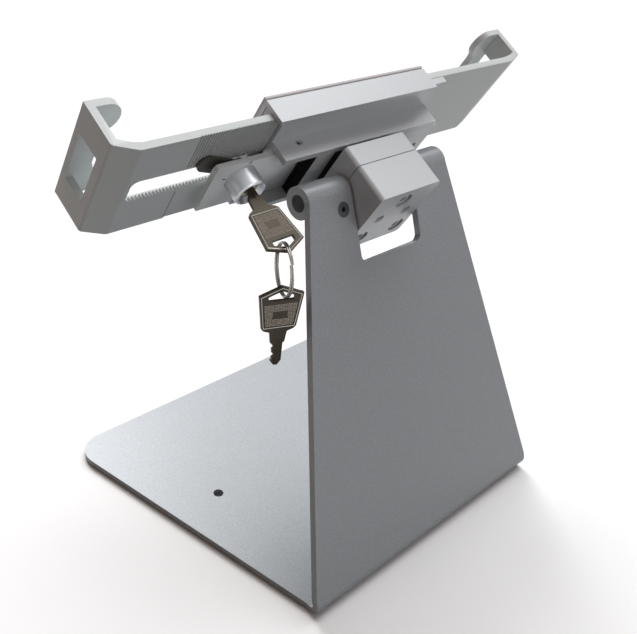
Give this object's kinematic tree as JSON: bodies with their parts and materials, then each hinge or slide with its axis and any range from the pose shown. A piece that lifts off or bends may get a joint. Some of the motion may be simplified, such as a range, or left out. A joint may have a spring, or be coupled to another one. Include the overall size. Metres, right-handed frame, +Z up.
{
  "type": "tablet security stand",
  "caption": "Bent-sheet tablet stand whose tilting head clamps a tablet between sliding toothed arms, held by a cam lock with keys on a split ring.",
  "frame": {"origin": "midway between the two desk screw holes, on the underside of the base plate", "axes": "+Z up, the user on the -Y side, the lock on the +X side"},
  "size_m": [0.292, 0.1848, 0.2476],
  "materials": {
    "powder_coat": "silver-grey fine powder coat",
    "rubber": "matt",
    "satin_aluminium": "satin anodised",
    "bright_steel": "zinc plated",
    "black_steel": "black oxide",
    "black_plastic": "matt",
    "pad": "matt",
    "lock_chrome": "polished",
    "nickel": "nickel plated"
  },
  "bodies": {
    "stand": {"stand_frame": "powder_coat", "foot_pads": "rubber", "hinge_shaft": "bright_steel", "ear_screws": "bright_steel"},
    "head": {"hinge_block_front": "satin_aluminium", "hinge_block_cap": "satin_aluminium", "block_spacer": "black_plastic", "bar_end_cap": "black_plastic", "clamp_screws": "black_steel", "friction_screws": "black_steel", "mounting_bar": "satin_aluminium", "bar_screws": "bright_steel", "bar_grub_screw": "black_steel", "rail": "satin_aluminium", "rail_front_pad": "pad", "pinion_pin": "bright_steel", "lock_plate": "satin_aluminium", "plate_grub_screw": "black_steel", "lock_housing": "lock_chrome", "lock_nut": "bright_steel"},
    "lock_arm": {"lock_side_arm": "satin_aluminium"},
    "free_arm": {"free_side_arm": "satin_aluminium"},
    "pinion": {"pinion": "nickel"},
    "plug": {"lock_plug": "nickel", "lock_cam": "black_steel"},
    "key": {"key": "nickel"},
    "ring": {"key_ring": "lock_chrome"},
    "spare": {"spare_key": "nickel"}
  },
  "joints": [
    {"name": "head_tilt", "type": "hinge", "parent": "stand", "child": "head", "pos_m": [0, 0.00995, 0.19216], "axis": [-1, 0, 0], "range_deg": [-25, 45]},
    {"name": "lock_arm_slide", "type": "slide", "parent": "head", "child": "lock_arm", "axis": [1, 0, 0], "range_m": [-0.03, 0.035]},
    {"name": "free_arm_slide", "type": "slide", "parent": "head", "child": "free_arm", "axis": [-1, 0, 0], "range_m": [-0.03, 0.035]},
    {"name": "pinion_turn", "type": "hinge", "parent": "head", "child": "pinion", "pos_m": [0, -0.02097, 0.20695], "axis": [0, -0.8712, 0.4909], "range_deg": [-359, 419]},
    {"name": "lock_turn", "type": "hinge", "parent": "head", "child": "plug", "pos_m": [0.0738, -0.00774, 0.20191], "axis": [0, -0.8712, 0.4909], "range_deg": [0, 90]},
    {"name": "key_withdraw", "type": "slide", "parent": "plug", "child": "key", "axis": [0, 0.8712, -0.4909], "range_m": [0, 0.011]},
    {"name": "ring_swing", "type": "hinge", "parent": "key", "child": "ring", "pos_m": [0.0738, 0.02472, 0.18361], "axis": [0.8988, -0.4384, 0], "range_deg": [-4, 15]},
    {"name": "spare_swing", "type": "hinge", "parent": "ring", "child": "spare", "pos_m": [0.07556, 0.02833, 0.15825], "axis": [-0.4384, -0.8988, 0], "range_deg": [-10, 30]}
  ],
  "couplings": [
    {"joint": "free_arm_slide", "follows": "lock_arm_slide", "ratio": 1},
    {"joint": "pinion_turn", "follows": "lock_arm_slide", "rad_per_m": 208.33}
  ]
}
